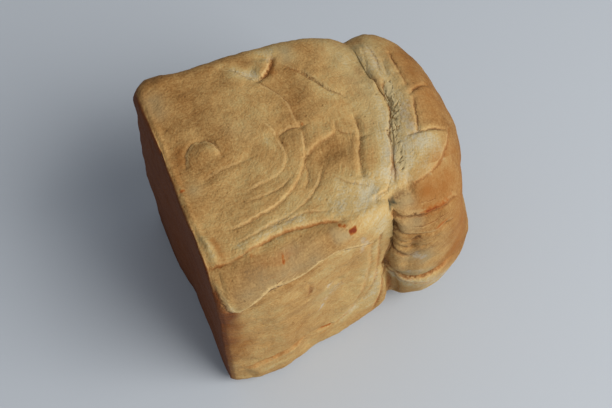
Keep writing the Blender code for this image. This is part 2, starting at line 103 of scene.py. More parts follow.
# Creases and folds in mm, as (face, raised, spread, depth, width, stains, points). To the left of the line
# the crust stands up by raised, dying out over spread, and along it the crust sinks by depth over width. Stains
# are how strongly it is cracked dark, with painted shade below its step, glazed orange, and pale along its
# raised lip, with a painted highlight on the rim. A line on top runs through (X, Y) points and one on the near
# side through (X, Z) points, from the bottom and the tin's middle.
creases = (
    # the round mark of the tin's wall on top, then the arc inside it
    ("top", 1.1, 16, 0.3, 1.5, (0.35, 0.1, 0.35),
     ((16, -36), (29, -35), (48, -29), (59, -18), (65, -7), (67, 3))),
    ("top", 1.1, 16, 0.3, 1.5, (0.3, 0.1, 0.3), ((67, 3), (67, 16), (63, 28), (55, 40), (46, 52))),
    ("top", 0.5, 10, 0.2, 1.2, (0.15, 0.0, 0.3), ((31, -20), (48, -17), (55, -7), (55, 5), (51, 15))),
    ("top", 0.0, 1, 0.6, 1.2, (0.5, 0.2, 0.2), ((56, 4), (62, 5), (70, 4))),
    # the round knob and the line round it
    ("top", 0.0, 1, -1.5, 4.5, (0, 0, 0), ((19, 8), (23, 7))),
    ("top", 0.0, 1, 0.7, 1.3, (0.4, 0.1, 0.4), ((26, 3), (25, 9), (22, 14), (16, 15), (11, 11), (8, 3))),
    ("top", 0.0, 1, 0.6, 2.0, (0.2, 0.0, 0.2), ((14, -7), (23, -5), (36, -3))),
    # the tucked lobe's far edge
    ("top", 0.5, 8, 0.5, 1.5, (0.2, 0.0, 0.4), ((55, 41), (50, 46), (44, 53))),
    ("top", 2.0, 8, 1.3, 1.6, (0.7, 0.6, 0.6), ((57, 38), (62, 39), (66, 43), (69, 48))),
    ("top", 0.0, 1, 1.2, 6.0, (0, 0, 0), ((70, 28), (70, 16))),
    ("top", 0.6, 8, 0.7, 1.2, (0.6, 0.2, 0.35), ((80, 36), (87, 22), (94, 13))),
    # edge of the layer
    ("top", 1.6, 10, 0.5, 1.6, (0.35, 0.1, 0.2), ((63, -13), (72, -8), (80, -6), (84, 0))),
    ("top", 0.0, 1, 1.0, 5.0, (0, 0, 0), ((71, -15), (83, -13))),
    ("top", 0.0, 1, 0.6, 1.3, (0.4, 0.3, 0.2), ((83, -2), (85, -5), (89, -8))),
    # the long dent
    ("top", 0.6, 5, 1.2, 1.6, (0.5, 0.1, 0.25), ((84, -32), (87, -22), (91, -13), (93, -7), (94, 0))),
    ("top", 0.0, 1, 0.4, 1.4, (0.4, 0.0, 0.0), ((91, -12), (96, -12))),
    ("top", 0.0, 1, 0.6, 1.1, (0.5, 0.1, 0.2), ((62, -17), (60, -23), (58, -27))),
    # lip round the bottom's edge
    ("top", 0.0, 1, -0.9, 1.3, (0, 0, 0), ((1.8, 52), (1.8, 5), (2.2, -23), (4, -41))),
    ("top", 0.0, 1, -1.2, 2.0, (0, 0, 0), ((4, -37), (5, -48))),
    ("top", 0.4, 4, 1.6, 1.5, (0.5, 0.9, 0.2), ((1, -50), (5, -51), (11, -51))),
    # the fold along the corner above the near side
    ("top", 0.7, 8, 0.9, 1.3, (0.2, 0.8, 0.4), ((11, -51), (21, -49), (34, -46.5), (47, -47), (65, -51))),
    ("near", 0.5, 5, 0.5, 1.0, (0.1, 0.4, 0.2), ((22, 63.5), (31, 62.5), (40, 63))),
    # edge of the folded flap
    ("near", 2.4, 20, 1.2, 2.0, (0.5, 0.4, 1.0),
     ((-5, 43.5), (0, 41.5), (5, 40), (9, 39.5), (13, 42.5), (19, 46), (27, 51), (32, 49), (39, 46.5),
      (43, 47.5), (50, 51), (58, 52), (69, 46), (75, 42), (81, 36))),
    ("near", 0.0, 1, 0.6, 1.2, (0.7, 0.6, 0.7), ((0.5, 58), (1.5, 52), (3, 47), (4.5, 43.5), (7, 41))),
    # crease over the foot
    ("near", 1.6, 26, 0.7, 1.4, (0.1, 0.5, 0.2), ((42, -33), (30, -36), (16, -39), (5, -41))),
    ("near", 0.0, 1, 1.6, 2.4, (0.3, 0, 0), ((56, 14), (62, 13))),
    ("near", 0.0, 1, 1.0, 1.2, (0.3, 0.9, 0.2), ((52, -36), (59, -38))),
    ("near", 0.0, 1, -1.6, 7.0, (0, 0, 0), ((82, 13), (81, -4), (69, -21))),
    # layers drawn towards the neck
    ("near", 0.7, 6, 0.9, 1.3, (0.1, 0.6, 0.25), ((88, -53), (90, -42), (91, -13), (91, 2))),
    ("near", 0.6, 6, 0.6, 1.2, (0.0, 0.35, 0.2), ((79, -29), (83, -12), (86, 6), (86, 25), (84, 44))),
    ("near", 0.4, 6, 0.5, 1.2, (0.0, 0.25, 0.15), ((72, -28), (78, -8), (81, 17), (80, 40))),
    ("near", 0.4, 6, 0.5, 1.2, (0.0, 0.35, 0.2), ((46, -43), (59, -41), (68, -36), (76, -27))),
    ("near", 0.0, 1, 0.6, 1.3, (0.4, 0.4, 0.2), ((45, 31), (46, 23), (44, 16))),
    ("near", 0.8, 5, 0.3, 1.4, (0.2, 0.4, 0.4),
     ((92.5, -2), (91, 8), (92, 22), (93.5, 34), (92.5, 47), (89, 60))),
    ("near", 0.0, 1, -1.8, 3.5, (0, 0, 0),
     ((95, 54), (96, 42), (96.5, 30), (96.5, 18), (97, 6), (98, -6))),
    # the crown's neck, and the pinch where the folds meet it
    ("near", 0.0, 1, 5.5, 3.0, (0.3, 0.6, 0.2), ((94, -8), (96.5, -23), (100, -42), (101, -62))),
    ("top", 0.0, 1, 2.2, 2.2, (0.2, 0, 0), ((92, -48), (95, -48))),
    ("top", 1.3, 6, 0.8, 1.5, (0.3, 0.1, 0.8), ((84, -47), (89, -46.5), (97, -45), (104, -43))),
    # folds under the crown, from the top down
    ("near", 0.8, 3, 1.4, 1.4, (0.9, 0.2, 0.3), ((93, 60), (99, 59.5), (104, 59))),
    ("near", 1.3, 6, 1.8, 1.5, (0.9, 0.3, 0.4),
     ((92, 55), (94, 53), (97, 50.5), (105, 48.5), (113, 46.5), (119, 46), (124, 45))),
    ("near", 0.0, 1, 0.6, 1.4, (0.5, 1.0, 0.0), ((106, 48.3), (113, 46.5), (119, 46), (124, 45))),
    ("near", 1.3, 6, 1.8, 1.5, (1.0, 0.4, 0.3),
     ((93, 47), (95, 42), (97, 39), (99, 37.5), (107, 34.5), (114, 32.5), (121, 32))),
    ("near", 0.6, 5, 0.8, 1.3, (0.4, 0.2, 0.3), ((94, 35), (96, 31.5), (99, 30), (104, 32))),
    ("near", 1.3, 6, 1.8, 1.5, (1.0, 0.4, 0.3),
     ((93, 29), (95, 26.5), (97, 25), (99, 23), (101.5, 21), (103, 23))),
    ("near", 0.8, 4, 1.0, 1.3, (0.6, 0.3, 0.2), ((109, 20.5), (112, 22), (115, 25))),
    ("near", 0.7, 5, 0.8, 1.3, (0.5, 0.3, 0.2), ((94, 24), (96, 19), (98, 15), (101, 12), (105, 14))),
    ("near", 1.3, 13, 1.6, 1.6, (0.6, 0.8, 0.25),
     ((131, -15), (121, -16), (110, -17), (101, -16), (95, -8), (91, 3))),
    ("near", 0.4, 5, 0.7, 1.3, (0.1, 0.6, 0.3), ((97, -19), (103, -22), (111, -24), (123, -30))),
    ("top", 0.7, 6, 0.4, 1.1, (0, 0, 0.3),
     ((97, -41), (100.5, -32), (104, -21), (108, -11), (112.5, -2), (114, 5))),
    ("top", 0.4, 5, 0.3, 1.1, (0, 0, 0.2), ((114, 3), (112.5, 12), (112, 20), (111, 24))),
    # the torn seam, filled where it isn't torn
    ("top", 0.3, 5, 0.2, 1.3, (0.1, 0, 0.2), ((111, 22), (112.5, 28), (114, 35), (116, 43))),
    ("top", 0.0, 1, -2.4, 4.5, (0, 0, 0), ((113.5, 17), (113.5, 26), (115, 38))),
    ("top", 0.0, 1, -0.8, 2.5, (0, 0, 0), ((102.5, -26), (100.5, -33))),
    ("top", 0.0, 1, 0.2, 1.0, (0.4, 0.4, 0.3), ((98, -38), (100.5, -32), (104, -21))),
    ("top", 0.0, 1, 0.4, 1.0, (0.8, 0.2, 0.3),
     ((104, -21), (108, -11), (112.5, -2), (114, 5), (112.5, 12))),
    ("top", 0.0, 1, 0.4, 1.0, (0.7, 0.2, 0.3), ((112.5, 12), (112, 17), (110.5, 20))),
    ("top", 0.0, 1, 0.6, 1.0, (1.0, 0.5, 0.1), ((116.5, 15), (115, 9), (115.5, 4), (113.5, 0), (114, -4))),
    ("top", 0.0, 1, 0.6, 1.2, (0.4, 0, 0.3), ((122, 28), (120, 19))),
    ("top", 0.5, 6, 0.7, 1.1, (0.7, 0.3, 0.15), ((127, 18), (127, 26), (128, 32))),
    ("top", 0.4, 6, 0.7, 1.1, (0.6, 0.3, 0.1), ((126, 9), (127, 17))),
    ("top", 0.3, 6, 0.7, 1.1, (0.6, 0.3, 0.1), ((125, 3), (128, 5), (137, 8))),
    ("top", 0.6, 7, 0.8, 1.1, (0.8, 0.3, 0.15), ((120, -18), (124, -8), (126, 0))),
    ("top", 0.3, 5, 0.6, 1.1, (0.6, 0.3, 0.25), ((115, -19), (120, -19), (135, -19))),
    ("top", 1.0, 7, 0.4, 1.3, (0.3, 0.5, 0.3), ((104, -44), (116, -40.5), (129, -31), (139, -18))),
    ("top", 0.4, 5, 0.4, 0.9, (0.2, 0.1, 0.4), ((84, -45.6), (89.5, -43.5), (95, -41))),
    ("top", 0.3, 3, 0.3, 0.9, (0.3, 0.1, 0.2), ((97, -35), (103, -24), (106, -12))),
    # finer ones, which only the visible crust carries
    ("top", 0.3, 3, 0.3, 0.9, (0.2, 0.1, 0.3), ((119, 42), (119, 30), (117, 20))),
    ("top", 0.3, 3, 0.4, 0.9, (0.2, 0.2, 0.2), ((72, 44), (78, 36), (86, 24))),
    ("top", 0.0, 1, 0.3, 0.9, (0.2, 0.1, 0.2), ((30, -26), (44, -25), (53, -20))),
    ("top", 0.0, 1, 0.3, 0.9, (0.2, 0.1, 0.3), ((34, -41), (48, -38), (60, -31), (68, -22))),
    ("top", 0.0, 1, 0.3, 0.9, (0.1, 0.2, 0.3), ((16, -44), (30, -42), (46, -41), (62, -44))),
    ("top", 0.0, 1, 0.3, 0.9, (0.2, 0.1, 0.2), ((70, -27), (76, -33), (84, -38))),
)

# Tints in mm, as (face, tint, strength, width, points).
tints = (
    ("top", "brown", 0.9, 16, ((7, 56),)),
    ("top", "brown", 0.6, 8, ((15, 57), (33, 57), (57, 54))),
    ("top", "brown", 0.5, 5, ((3, 44), (4, 22), (3, -1), (3, -22))),
    ("top", "toastAndShade", 0.5, 2.5, ((9, 14), (3, -3))),
    ("top", "brown", 0.6, 4, ((8, 21), (9, 14))),
    ("top", "brown", 0.35, 6, ((86, 50), (93, 44))),
    ("top", "pale", 0.8, 2.6, ((44, 54), (50, 48), (55, 44), (58, 39))),
    ("top", "pale", 0.6, 4, ((47, 46), (53, 43))),
    ("top", "pale", 0.8, 4.5, ((64, 55), (70, 52), (67, 48))),
    ("top", "pale", 0.5, 4, ((61, 50), (59, 45))),
    # painted shadow: dark orange along the low side of the tucked lobe's raised edge
    ("top", "toastAndShade", 0.9, 2.2, ((69, 47), (66, 40))),
    ("top", "brown", 0.6, 8, ((72, 38), (70, 26), (70, 13))),
    ("top", "brown", 0.5, 4, ((70, 17), (70, 8))),
    ("top", "grey", 0.8, 4, ((77, 51), (77, 46))),
    ("top", "grey", 0.2, 5.5, ((36, 16), (41, 11))),
    ("top", "brown", 0.4, 9, ((36, 24), (30, 18))),
    ("top", "grey", 0.6, 3.5, ((8, -10),)),
    ("top", "grey", 0.5, 5, ((6, 46), (6, 38))),
    ("top", "pale", 0.2, 5, ((28, 21),)),
    ("top", "pale", 0.5, 3, ((50, 4), (50, -2))),
    ("top", "pale", 0.3, 6, ((42, 36), (52, 34))),
    ("top", "pale", 0.7, 2.4, ((21, 9), (24, 6))),
    ("top", "ember", 0.7, 0.9, ((1.6, -8.7), (2.8, -8.5))),
    ("top", "ember", 0.6, 0.9, ((68.6, 5.2),)),
    ("top", "brown", 0.6, 8, ((68, -15), (78, -18), (86, -24))),
    ("top", "brown", 0.6, 14, ((12, 30), (30, 34), (18, 4))),
    ("top", "pale", 0.4, 1.7, ((4, -38), (5, -47))),
    ("top", "toastAndShade", 0.8, 1.6, ((7, -38), (8, -48))),
    ("top", "pale", 0.4, 4, ((78, 33), (84, 23), (89, 15))),
    ("top", "pale", 0.3, 8, ((102, 44), (108, 38), (110, 33))),
    ("top", "grey", 0.35, 9, ((103, 42), (106, 20), (107, 0), (103, -14))),
    ("top", "pale", 0.25, 5, ((96, 48), (102, 32), (108, 25))),
    ("top", "brown", 0.8, 2.5, ((113, 50), (118, 48))),
    ("top", "pale", 0.45, 4, ((107, 16), (109, 7), (109, -1))),
    ("top", "pale", 0.6, 4, ((107, -9), (102, -20), (98, -30), (95, -37))),
    ("top", "pale", 0.8, 8, ((89, -40), (82, -46))),
    ("top", "pale", 0.15, 12, ((102, 11), (101, -7), (93, -26), (82, -40))),
    ("top", "pale", 0.3, 10, ((60, -34), (76, -30), (90, -20))),
    ("top", "pale", 0.4, 9, ((66, -45), (82, -38), (94, -31))),
    ("top", "toastAndShade", 0.4, 1.6, ((103, -22), (101, -30), (99.5, -37))),
    ("top", "beige", 0.8, 7, ((120, -2), (115, -15))),
    ("top", "brown", 0.5, 7, ((80, -10), (86, -20))),
    ("top", "pale", 0.8, 9, ((109, -25), (115, -27), (123, -26))),
    ("top", "pale", 0.9, 7, ((105, -32), (102, -41))),
    ("top", "pale", 0.5, 6, ((130, -22), (124, -33), (114, -38))),
    ("top", "beige", 0.9, 6, ((118, 40), (117, 31), (115, 20))),
    ("top", "pale", 0.5, 5, ((122, 27), (121, 14), (120, 5))),
    ("top", "beige", 0.6, 7, ((122, 20), (121, 6))),
    ("top", "beige", 0.5, 7, ((121, -24), (126, -26))),
    ("top", "white", 0.3, 6, ((119, -2), (117, -12), (117, -22))),
    ("top", "white", 0.25, 5, ((118, 36), (117, 26))),
    ("top", "toastAndShade", 0.5, 9, ((131, 29), (134, 14), (137, 0))),
    ("top", "toastAndShade", 0.3, 8, ((132, -2), (131, -11))),
    ("top", "brown", 1.0, 12, ((140, 26), (143, 0), (142, -22))),
    ("top", "brown", 0.3, 14, ((124, 22), (128, 2), (131, -16))),
    ("near", "brown", 1.0, 15, ((140, 52), (141, 20), (139, -12))),
    ("near", "toastAndShade", 1.0, 9, ((138, 56), (128, 57), (112, 57))),
    ("near", "toastAndShade", 0.8, 10, ((138, 40), (138, 10), (132, -14))),
    ("near", "brown", 0.8, 4, ((98, 56.5), (110, 56), (120, 54))),
    ("top", "brown", 0.7, 2.5, ((101, -44), (102, -46))),
    # the near side, and the rounded corner above it
    ("top", "ember", 0.65, 0.6, ((62.5, -52.5), (65, -53))),
    ("top", "ember", 0.95, 0.7, ((66.3, -55.3), (69.3, -54.7))),
    ("top", "brown", 0.6, 4, ((18, -55.5), (28, -55.5), (38, -55), (48, -55), (57, -55.5))),
    ("top", "grey", 0.7, 2.5, ((59.7, -55.5), (66, -57))),
    ("top", "grey", 0.5, 2, ((34.4, -55.5), (40.5, -55))),
    # painted shade over the rounded corner above the near side, which lies darker than the top and the near side
    ("near", "brown", 0.6, 8, ((12, 57), (30, 57), (46, 58))),
    ("near", "grey", 0.55, 7, ((14, 54), (30, 57), (46, 58))),
    ("top", "brown", 0.8, 1.6, ((113.5, 18), (114, 13))),
    ("top", "brown", 0.9, 2.0, ((116, 9), (116.5, 5))),
    ("top", "brown", 0.8, 1.6, ((107.5, 27), (108.5, 24))),
    ("top", "ember", 0.6, 0.8, ((33.8, -56), (33, -58.2))),
    ("top", "pale", 0.35, 3, ((18, -46), (29, -43), (41, -42), (55, -44), (66, -47))),
    ("top", "pale", 0.25, 5, ((31, -39), (50, -37), (70, -39), (84, -40))),
    ("near", "hole", 0.9, 0.8, ((20.5, 63.5),)),
    ("near", "hole", 0.9, 0.8, ((23.4, 48),)),
    ("near", "hole", 0.8, 0.9, ((4.5, 45),)),
    ("near", "pale", 0.4, 2.5, ((50, 48), (59, 47), (69, 44), (78, 38))),
    ("near", "pale", 0.7, 2.6, ((4, 50), (6, 45), (9, 42.5), (14, 46), (20, 49), (27, 54))),
    ("near", "pale", 0.4, 2.2, ((27, 54), (34, 51), (40, 49), (50, 54))),
    # painted shadow, a brown line just below the folded flap's lip
    ("near", "brown", 0.5, 3, ((16, 39), (24, 44), (31, 45), (40, 42), (50, 46), (60, 46))),
    ("near", "brown", 0.6, 8, ((10, 60), (22, 59), (38, 60))),
    ("near", "white", 0.45, 1.3, ((62, 14.5), (57, 12))),
    ("near", "white", 0.4, 1.2, ((53, -4), (51, -7))),
    ("near", "white", 0.35, 2.2, ((72, 54), (76, 41), (75, 35))),
    ("near", "white", 0.25, 5, ((63, 8), (56, 0))),
    ("near", "ember", 0.5, 0.8, ((53.8, -36.5), (58.8, -38.5))),
    ("near", "ember", 0.4, 1.2, ((2, 26), (2, 22))),
    ("near", "toastAndShade", 0.2, 10, ((6, -4), (18, -14), (28, -14))),
    ("near", "toastAndShade", 0.5, 6, ((6, 26), (6, -20))),
    ("near", "brown", 0.7, 5, ((1, 38), (0, -20))),
    ("near", "pale", 0.5, 2, ((16, -48), (32, -47))),
    ("near", "pale", 0.4, 9, ((73, -2), (67, -19), (80, 10))),
    ("near", "pale", 0.7, 5, ((85, 24), (85, 43), (79, 60))),
    ("near", "pale", 0.7, 4, ((86, 58), (90, 36))),
    ("near", "pale", 0.6, 5, ((84, 0), (86, -20), (84, -40))),
    ("near", "grey", 0.4, 6, ((52, 4), (58, 9))),
    # painted shadow in the crevice where the folds meet the crown's neck, laid as a dark tint
    ("near", "pinchShadow", 0.85, 1.7, ((90, 59), (94, 58.5))),
    ("near", "grey", 0.8, 3, ((97, 57.5), (101, 57))),
    ("near", "grey", 0.7, 5, ((98, 46), (102, 45))),
    ("near", "grey", 0.7, 5, ((103, 11), (110, 12), (112, 4))),
    ("near", "white", 0.35, 4, ((105, 12), (110, 8))),
    ("near", "grey", 0.8, 4.5, ((99, -9), (107, -11), (115, -12))),
    ("near", "white", 0.3, 3, ((104, -8), (110, -8))),
    ("near", "brown", 0.5, 10, ((97, 50), (102, 30), (108, 10))),
    ("near", "brown", 0.6, 6, ((104, 44), (112, 42), (118, 41))),
    ("near", "brown", 0.5, 5, ((107, 33), (114, 31))),
    ("near", "pale", 0.5, 8, ((75, -32), (66, -36))),
    ("near", "toastAndShade", 0.8, 1.3, ((113, 35.5), (116.5, 36), (121, 35.5))),
    ("near", "ember", 0.5, 1.0, ((114.5, 36), (117, 36.5), (120, 36))),
    ("near", "ember", 0.62, 1.4, ((106, 51), (113, 49.2), (119, 49), (124, 48))),
    ("near", "brown", 0.5, 8, ((103, 43), (113, 40))),
    ("near", "pale", 0.8, 5, ((101, -22), (112, -23), (121, -22))),
    ("near", "pale", 0.8, 8, ((104, -26), (116, -30), (126, -30))),
    ("near", "brown", 0.4, 12, ((106, 44), (116, 34), (118, 18))),
    ("near", "toastAndShade", 0.4, 6, ((107, -47), (117, -30), (130, -24))),
    ("near", "toastAndShade", 0.6, 7, ((128, 33), (134, -1), (130, -11))),
)


def smoothCurve(stations, at):
    # values of a smooth curve through (position, value) stations, which never swings past them
    xs = np.array([p for p, _ in stations], float)
    ys = np.array([v for _, v in stations], float)
    rise = np.diff(ys) / np.diff(xs)
    product = rise[1:] * rise[:-1]
    inner = np.where(product > 0, 2 * product / (rise[1:] + rise[:-1] + 1e-30), 0)
    slopes = np.concatenate([rise[:1], inner, rise[-1:]])
    at = np.clip(np.asarray(at, float), xs[0], xs[-1])
    i = np.clip(np.searchsorted(xs, at, side="right") - 1, 0, len(xs) - 2)
    gap = xs[i + 1] - xs[i]
    t = (at - xs[i]) / gap
    t2, t3 = t * t, t * t * t
    return ((2 * t3 - 3 * t2 + 1) * ys[i] + (t3 - 2 * t2 + t) * gap * slopes[i]
            + (3 * t2 - 2 * t3) * ys[i + 1] + (t3 - t2) * gap * slopes[i + 1])


def ringLayout():
    # one turn round the loaf: each point's side of the tin (-1 to 1 each way) and its outward angle
    sides = {  # the way it runs along Y and Z, its outward angle, and the corner that it ends at
        "top": (1, 0, 90, 1, 1),
        "far": (0, -1, 0, 1, -1),
        "under": (-1, 0, -90, -1, -1),
        "near": (0, 1, -180, -1, 1),
    }
    points = []
    for name, (alongY, alongZ, angle, endY, endZ) in sides.items():
        steps = loaf["steps"][name]
        for k in range(steps):
            t = -1 + 2 * k / steps
            points.append((alongY * t if alongY else endY, alongZ * t if alongZ else endZ, angle))
        for k in range(loaf["cornerSteps"]):
            points.append((endY, endZ, angle - 90 * k / loaf["cornerSteps"]))
    unitY, unitZ, angle = (np.array(column, float) for column in zip(*points))
    return unitY, unitZ, np.radians(angle)


def tinRing(layout, share):
    # the tin-shaped part's outline, at a share of the way from the bottom to the seam
    unitY, unitZ, angle = layout
    names = ("nearWall", "farWall", "underWall", "topWall", "nearTopCorner", "farTopCorner", "underCorner")
    near, far, low, high, nearTop, farTop, under = [float(smoothCurve(loaf[name], share)) for name in names]
    top = nearTop * (1 - unitY) / 2 + farTop * (1 + unitY) / 2
    radius = under * (1 - unitZ) / 2 + top * (1 + unitZ) / 2
    y = (near + far) / 2 + unitY * ((far - near) / 2 - radius) + radius * np.cos(angle)
    z = (low + high) / 2 + unitZ * ((high - low) / 2 - radius) + radius * np.sin(angle)
    return y, z


def seamAlong(layout):
    unitY, unitZ, _ = layout
    seam = np.interp(unitY, (-1, 1), (loaf["seamOnNearSide"][0][1], loaf["seamOnTop"][-1][1]))
    seam = np.where(unitZ >= 1, smoothCurve(loaf["seamOnTop"], unitY), seam)
    return np.where(unitY <= -1, smoothCurve(loaf["seamOnNearSide"], unitZ), seam)


def bottomStand(y, z):
    nearLean, farLean = loaf["bottomLean"]
    change, gradual = loaf["leanChange"]
    lean = nearLean + (farLean - nearLean) * 0.5 * (1 + np.tanh((y - change) / gradual))
    down = np.clip((loaf["tin"] / 2 - z) / loaf["tin"], 0, 1)
    return -lean * down ** loaf["leanCurve"]


def crownRings(layout, shares, seamRow):
    # from the seam (share 0) out over the crown's bulge to its middle (share 1)
    unitY, unitZ, angle = layout
    square = loaf["crownSquare"]
    towardY = unitY * square + (1 - square) * np.cos(angle)
    towardZ = unitZ * square + (1 - square) * np.sin(angle)
    seamX, seamY, seamZ = seamRow
    middleY, middleZ = loaf["crownMiddle"]
    halfY, halfZ = loaf["crownHalf"]
    powerAtBulge, powerDrop, dropCurve = loaf["crownPower"]
    rows = []
    for s in shares:
        flare = min(1.0, s / loaf["flare"])
        past = max(0.0, (s - loaf["flare"]) / (1 - loaf["flare"]))
        turn = past * math.pi / 2
        power = powerAtBulge - powerDrop * past ** dropCurve
        reach = (np.abs(towardY) ** power + np.abs(towardZ) ** power) ** (-1 / power)
        reach = reach * math.cos(turn) ** loaf["crownFull"]
        y = middleY + towardY * reach * halfY
        z = middleZ + towardZ * reach * halfZ
        blend = math.sin(flare * math.pi / 2) ** loaf["flareFull"]
        y = (1 - blend) * seamY + blend * y
        z = (1 - blend) * seamZ + blend * z
        climb = loaf["flareRise"] * flare + (1 - loaf["flareRise"]) * math.sin(turn)
        settle = softStep(0, loaf["settled"], s)
        x = (1 - settle) * seamX + settle * (loaf["crownStart"] + loaf["crownLean"] * y)
        x = x + loaf["crownRise"] * climb
        for size, midY, midZ, wide, tall in loaf["crownLumps"]:
            x = x + size * settle * np.exp(-(((y - midY) / wide) ** 2) - ((z - midZ) / tall) ** 2)
        rows.append((x, y, z))
    return rows


def plainLoaf():
    layout = ringLayout()
    seam = seamAlong(layout)
    edgeY, edgeZ = tinRing(layout, 0.0)
    counts = loaf["rows"]
    rows = []
    for k in range(counts["bottom"]):
        reach = (k + 1) / (counts["bottom"] + 1)
        rows.append((bottomStand(edgeY * reach, edgeZ * reach), edgeY * reach, edgeZ * reach))
    for share in np.linspace(0, 1, counts["wall"]):
        y, z = tinRing(layout, share)
        rows.append((seam * share + bottomStand(y, z) * (1 - share) ** 3, y, z))
    shares = np.linspace(0, 1, counts["crown"] + 1)[1:-1] ** loaf["crownSpacing"]
    rows += crownRings(layout, shares, rows[-1])
    return np.array(rows).transpose(0, 2, 1)


def outwardNormals(place):
    roundIt = np.roll(place, -1, axis=1) - np.roll(place, 1, axis=1)
    normal = np.cross(np.gradient(place, axis=0), roundIt)
    return normal / (np.linalg.norm(normal, axis=2, keepdims=True) + 1e-12)


def softStep(low, high, value):
    t = np.clip((value - low) / (high - low), 0, 1)
    return t * t * (3 - 2 * t)


def crackle(place, closeness, seed=0):
    # smooth noise from -1 to 1 at every point, which a seed takes from another part of the pattern
    shift = Vector((seed * 7.3, seed * 3.1, seed * 5.7))
    flat = place.reshape(-1, 3) * closeness
    return np.array([noise.noise(Vector(p) + shift) for p in flat.tolist()]).reshape(place.shape[:2]) * 2


def alongPath(across, points):
    # distance to the path, signed side of it, the way travelled along it, and its length
    points = np.array(points, float)
    if len(points) == 1:
        off = across - points[0]
        distance = np.hypot(off[:, 0], off[:, 1])
        return distance, np.zeros(len(across)), np.zeros(len(across)), 0.0
    chord = np.concatenate([[0], np.cumsum(np.linalg.norm(np.diff(points, axis=0), axis=1))])
    at = np.linspace(0, chord[-1], max(3, int(chord[-1] / drawing["step"])))
    path = np.column_stack([smoothCurve(list(zip(chord, points[:, k])), at) for k in (0, 1)])
    nearest = np.full(len(across), 1e9)
    side = np.zeros(len(across))
    travelled = np.zeros(len(across))
    for start, end, gone in zip(path, path[1:], at):
        step = end - start
        reach = np.linalg.norm(step)
        t = np.clip((across - start) @ step / reach ** 2, 0, 1)
        off = across - start - t[:, None] * step
        distance = np.hypot(off[:, 0], off[:, 1])
        closer = distance < nearest
        nearest = np.where(closer, distance, nearest)
        side = np.where(closer, np.sign(step[0] * off[:, 1] - step[1] * off[:, 0]), side)
        travelled = np.where(closer, gone + t * reach, travelled)
    return nearest, side, travelled, chord[-1]


def planesOf(place):
    # the (X, Y) and (X, Z) places of every point in mm, strayed a little so that no line is ruler-straight
    stray = np.zeros(place.shape)
    for size, closeness in drawing["wander"]:
        stray += size * np.stack([crackle(place, closeness, seed) for seed in (1, 2, 3)], axis=2)
    wandered = place * 1000 + stray
    return {"top": wandered[:, :, :2], "near": wandered[:, :, ::2]}


def closeTo(plane, facing, points, margin):
    # the points of the crust that face the plane and lie within a margin round a line's box
    corners = np.array(points, float)
    inside = (plane > corners.min(axis=0) - margin).all(axis=2)
    inside &= (plane < corners.max(axis=0) + margin).all(axis=2)
    return inside & (facing > 0)


def bell(distance, width):
    return np.exp(-((distance / width) ** 2))


def creaseShape(planes, facing):
    # how far each point of the crust moves, its distance across the nearest line, and the lines' stains
    size = facing["top"].shape
    height = np.zeros(size)
    nearest = np.full(size, drawing["offLine"])
    across = np.full(size, drawing["offLine"])
    between = np.full(size, drawing["offLine"])  # how near each point is to lying halfway between two lines
    stains = np.zeros((3,) + size)
    edge = drawing["edge"]
    endShare, endLength = drawing["stainEnds"]
    for face, raised, spread, depth, width, strengths, points in creases:
        margin = 4 + max(3 * width, 2.5 * spread if raised else 0)
        inside = closeTo(planes[face], facing[face], points, margin)
        faces = facing[face][inside]
        distance, side, travelled, length = alongPath(planes[face][inside], points)
        added = -depth * bell(distance, width)
        if raised:
            fade = min(drawing["fade"], length / 4)
            ends = softStep(0, fade, travelled) * softStep(0, fade, length - travelled)
            added += raised * ends * softStep(-edge / 2, edge, distance * side) * bell(distance, spread)
        height[inside] += added * faces / 1000
        if not any(strengths):
            continue
        # a raised lip on the steep near side hides its step from above, so its stains lie higher and wider
        wider = drawing["lipWider"] if face == "near" else 1
        hidden = raised * drawing["lipShift"] if face == "near" and points[-1][0] >= points[0][0] else 0
        shown = faces * np.exp(-((distance / (drawing["stainReach"] * wider)) ** 4))
        full = softStep(0, endLength, travelled) * softStep(0, endLength, length - travelled)
        shown = shown * (endShare + (1 - endShare) * full)
        signed = (distance * np.where(side == 0, 1, side) - hidden) / wider
        toward = faces > drawing["stainFaces"]
        closer = (distance < nearest[inside]) & toward
        opposite = (across[inside] * signed < 0) & (distance > drawing["apart"])
        gap = np.where(opposite, np.abs(nearest[inside] - distance), drawing["offLine"])
        least = np.where(toward, np.minimum(between[inside], gap), between[inside])
        between[inside] = np.where(closer, gap, least)
        nearest[inside] = np.where(closer, distance, nearest[inside])
        across[inside] = np.where(closer, signed, across[inside])
        for k in range(3):
            stains[k][inside] = np.maximum(stains[k][inside], strengths[k] * shown)
    return height, across, stains * softStep(*drawing["between"], between)


def tintAmounts(place, planes, facing):
    amounts = {}
    for face, tint, strength, width, points in tints:
        amount = amounts.setdefault(tint, np.zeros(place.shape[:2]))
        inside = closeTo(planes[face], facing[face], points, 2.5 * width)
        distance = alongPath(planes[face][inside], points)[0]
        laid = strength * bell(distance, width) * facing[face][inside]
        amount[inside] = over(amount[inside], laid)
    return amounts


def over(first, second):
    # two coverages from 0 to 1 laid over each other
    return 1 - (1 - first) * (1 - second)


def linear(hexColour):
    # an sRGB hex value as the linear colour that Blender's sockets take
    channels = [int(hexColour[i:i + 2], 16) / 255 for i in (1, 3, 5)]
    return [c / 12.92 if c <= 0.04045 else ((c + 0.055) / 1.055) ** 2.4 for c in channels] + [1.0]


def addNode(tree, kind, inputs=None, **settings):
    # an input is a value, a socket, or a node, of which the first output is linked
    node = tree.nodes.new("ShaderNode" + kind)
    for name, value in settings.items():
        setattr(node, name, value)
    for name, value in (inputs or {}).items():
        if isinstance(value, (bpy.types.Node, bpy.types.NodeSocket)):
            tree.links.new(getattr(value, "outputs", [value])[0], node.inputs[name])
        else:
            node.inputs[name].default_value = value
    return node


